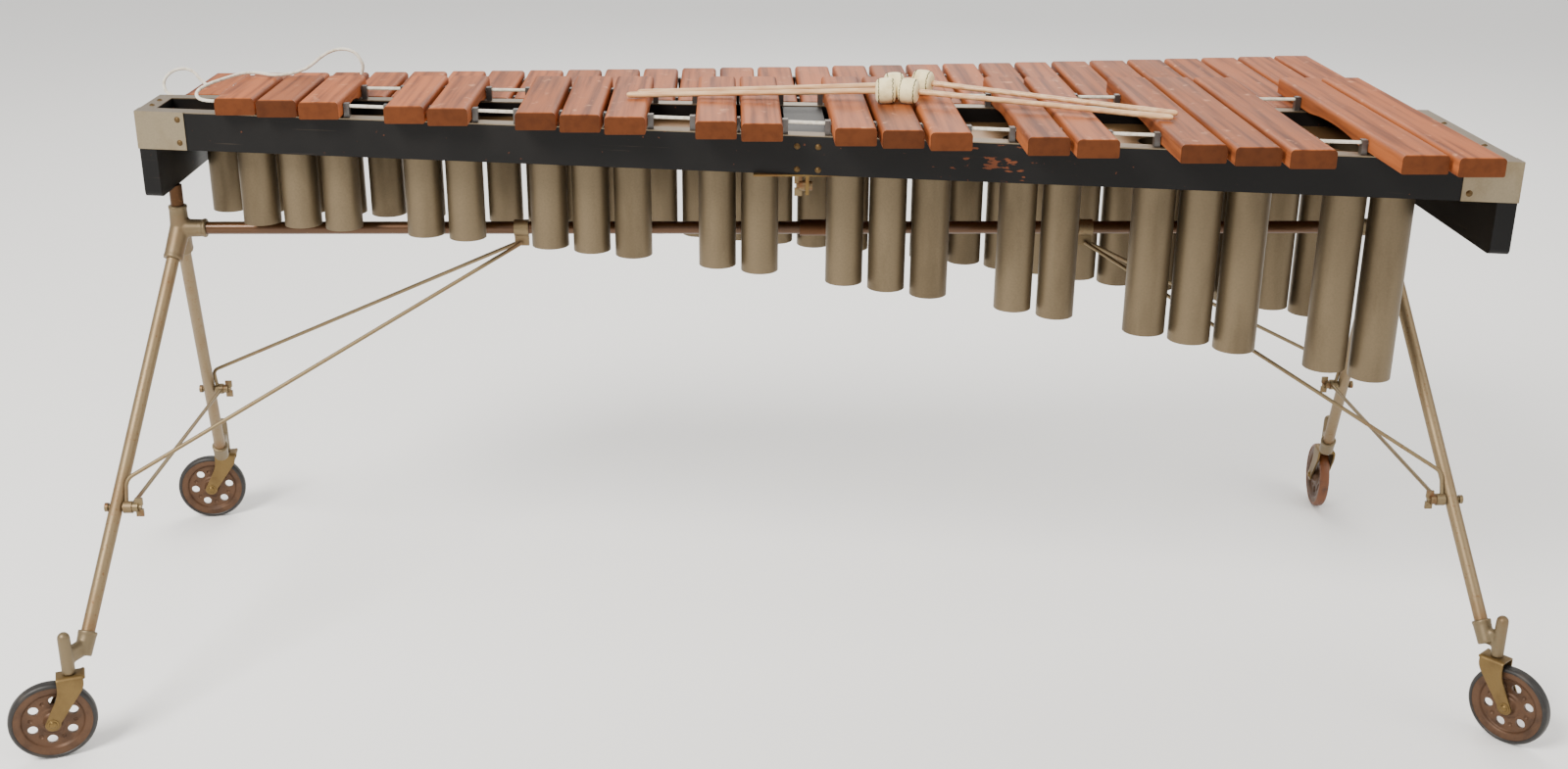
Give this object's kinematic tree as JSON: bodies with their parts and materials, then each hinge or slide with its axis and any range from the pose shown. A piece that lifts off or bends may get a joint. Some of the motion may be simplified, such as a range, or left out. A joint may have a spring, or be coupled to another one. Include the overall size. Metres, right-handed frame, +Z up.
{
  "type": "xylophone",
  "caption": "Concert xylophone with two rows of rosewood bars on a black frame, tube resonators below and a folding tube stand on swivel casters",
  "frame": {"origin": "on the floor under the middle of the instrument", "axes": "+Z up, +X towards the bass end, +Y towards the natural bars' side, so the sharps' side faces -Y"},
  "size_m": [1.8416, 0.817, 0.7838],
  "materials": {
    "rosewood": "oiled rosewood, satin",
    "black_rail": "black paint over hardwood, scratched",
    "rail_metal": "dull strip",
    "nickel": "worn nickel plate",
    "bronze_plate": "satin bronze plate",
    "champagne_tube": "dull champagne lacquer",
    "stand_paint": "aged aluminium paint",
    "brown_lacquer": "brown lacquer",
    "old_steel": "dull steel with light rust",
    "brass": "worn brass plate",
    "wheel_brown": "rusty pressed steel",
    "tyre": "old rubber",
    "cord": "woven cotton cord",
    "post_steel": "dark steel",
    "birch": "pale birch",
    "mallet_cream": "cream covered head",
    "casting": "aluminium-painted casting"
  },
  "bodies": {
    "frame": {"bolts": "old_steel", "brace_clamps": "old_steel", "brace_rods": "old_steel", "caster_elbows": "casting", "corner_plates": "nickel", "end_beam_bass": "black_rail", "end_beam_treble": "black_rail", "end_rails": "black_rail", "far_rails": "black_rail", "frame_screws": "brass", "joint_brackets": "brass", "joint_cross_members": "black_rail", "leg_castings": "casting", "leg_far_bass": "stand_paint", "leg_far_treble": "stand_paint", "leg_near_bass": "stand_paint", "leg_near_treble": "stand_paint", "natural_bar_cord": "cord", "natural_bars_bass": "rosewood", "natural_bars_treble": "rosewood", "natural_cord_posts": "post_steel", "natural_cord_tail": "cord", "natural_inner_rails": "black_rail", "natural_resonators_bass": "champagne_tube", "natural_resonators_treble": "champagne_tube", "near_rail_bass": "black_rail", "near_rail_treble": "black_rail", "rail_strips": "rail_metal", "resonator_plates": "bronze_plate", "resonator_stoppers": "champagne_tube", "sharp_bar_cord": "cord", "sharp_bars_bass": "rosewood", "sharp_bars_treble": "rosewood", "sharp_cord_posts": "post_steel", "sharp_cord_tail": "cord", "sharp_inner_rails": "black_rail", "sharp_resonators_bass": "champagne_tube", "sharp_resonators_treble": "champagne_tube", "stand_posts": "stand_paint", "stretcher_sleeve": "brass", "stretcher_tubes": "brown_lacquer", "wing_nuts": "brass"},
    "mallets": {"mallet_shafts": "birch", "mallet_heads": "mallet_cream"},
    "swivel_near_treble": {"fork_near_treble": "brass", "axle_near_treble": "brass"},
    "roller_near_treble": {"wheel_near_treble": "wheel_brown", "tyre_near_treble": "tyre"},
    "swivel_near_bass": {"fork_near_bass": "brass", "axle_near_bass": "brass"},
    "roller_near_bass": {"wheel_near_bass": "wheel_brown", "tyre_near_bass": "tyre"},
    "swivel_far_treble": {"fork_far_treble": "brass", "axle_far_treble": "brass"},
    "roller_far_treble": {"wheel_far_treble": "wheel_brown", "tyre_far_treble": "tyre"},
    "swivel_far_bass": {"fork_far_bass": "brass", "axle_far_bass": "brass"},
    "roller_far_bass": {"wheel_far_bass": "wheel_brown", "tyre_far_bass": "tyre"}
  },
  "joints": [
    {"name": "swivel_near_treble", "type": "hinge", "parent": "frame", "child": "swivel_near_treble", "pos_m": [-0.858, -0.322, 0.12], "axis": [0, 0, 1], "continuous": true},
    {"name": "spin_near_treble", "type": "hinge", "parent": "swivel_near_treble", "child": "roller_near_treble", "pos_m": [-0.88149, -0.33055, 0.05], "axis": [0.342, -0.9397, 0], "continuous": true},
    {"name": "swivel_near_bass", "type": "hinge", "parent": "frame", "child": "swivel_near_bass", "pos_m": [0.858, -0.31, 0.12], "axis": [0, 0, 1], "continuous": true},
    {"name": "spin_near_bass", "type": "hinge", "parent": "swivel_near_bass", "child": "roller_near_bass", "pos_m": [0.87407, -0.32915, 0.05], "axis": [0.766, 0.6428, 0], "continuous": true},
    {"name": "swivel_far_treble", "type": "hinge", "parent": "frame", "child": "swivel_far_treble", "pos_m": [-0.856, 0.35, 0.12], "axis": [0, 0, 1], "continuous": true},
    {"name": "spin_far_treble", "type": "hinge", "parent": "swivel_far_treble", "child": "roller_far_treble", "pos_m": [-0.88076, 0.34652, 0.05], "axis": [0.1392, -0.9903, 0], "continuous": true},
    {"name": "swivel_far_bass", "type": "hinge", "parent": "frame", "child": "swivel_far_bass", "pos_m": [0.861, 0.343, 0.12], "axis": [0, 0, 1], "continuous": true},
    {"name": "spin_far_bass", "type": "hinge", "parent": "swivel_far_bass", "child": "roller_far_bass", "pos_m": [0.86361, 0.36786, 0.05], "axis": [-0.9945, 0.1045, 0], "continuous": true},
    {"name": "lift_mallets", "type": "slide", "parent": "frame", "child": "mallets", "axis": [0, 0, 1], "range_m": [0, 0.2]}
  ]
}
